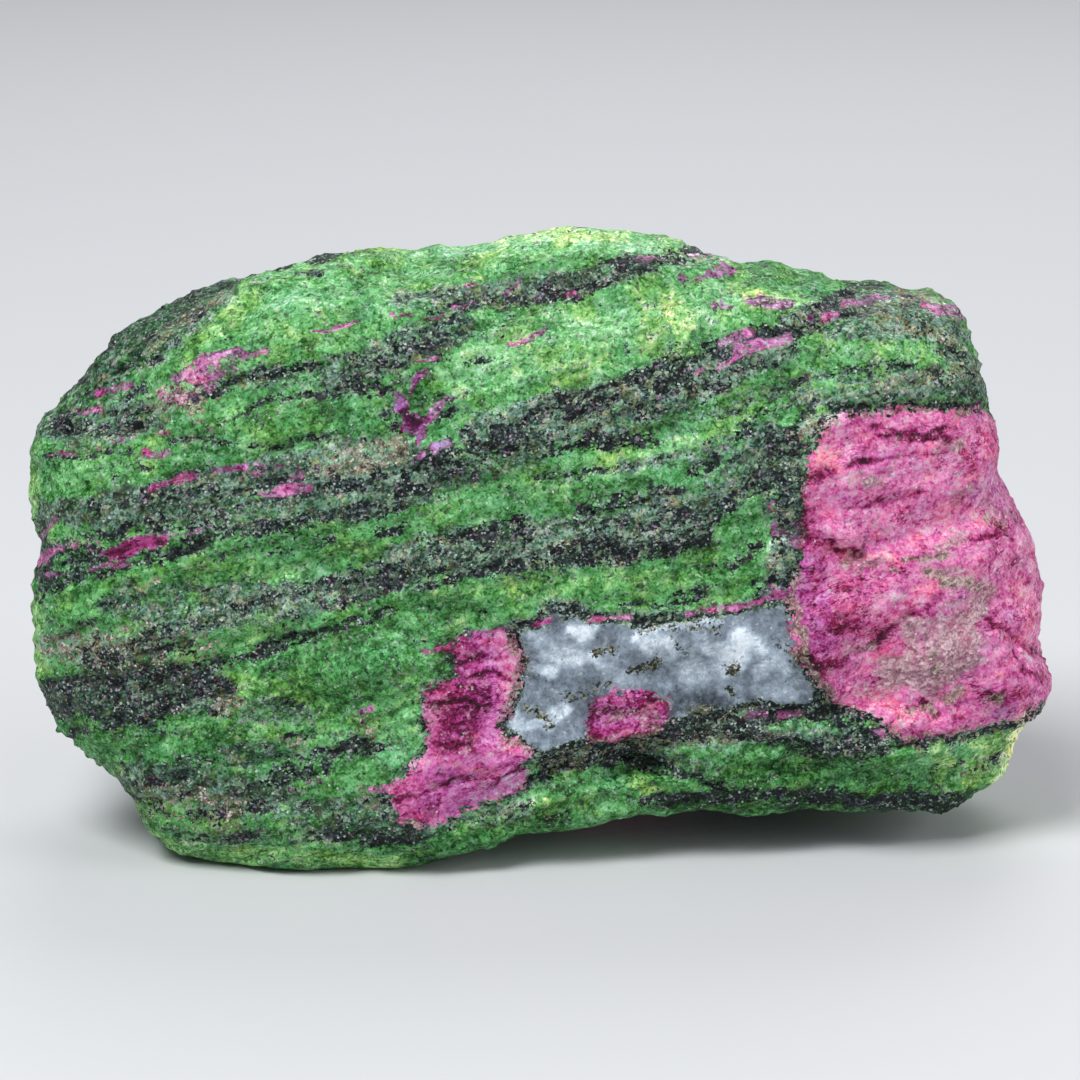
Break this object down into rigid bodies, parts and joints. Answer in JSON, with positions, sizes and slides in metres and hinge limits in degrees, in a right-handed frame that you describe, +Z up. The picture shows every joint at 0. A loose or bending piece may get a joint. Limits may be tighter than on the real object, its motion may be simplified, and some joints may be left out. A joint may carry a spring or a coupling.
{
  "type": "ruby in zoisite rough stone",
  "caption": "Rough broken block of green zoisite banded with black amphibole, with a large ruby crystal at one end and smaller ruby and quartz in its front face; stands on its long edge.",
  "frame": {"origin": "on the resting plane, under the middle of the stone's bounding box", "axes": "+X along the stone's length towards its ruby end, -Y towards the broken front face, +Z up"},
  "size_m": [0.1194, 0.0486, 0.0713],
  "materials": {
    "stone": "rough broken surface, sparkling grains: green zoisite with black amphibole bands, magenta ruby and blue-grey quartz"
  },
  "bodies": {
    "root": {"stone": "stone"}
  },
  "joints": []
}
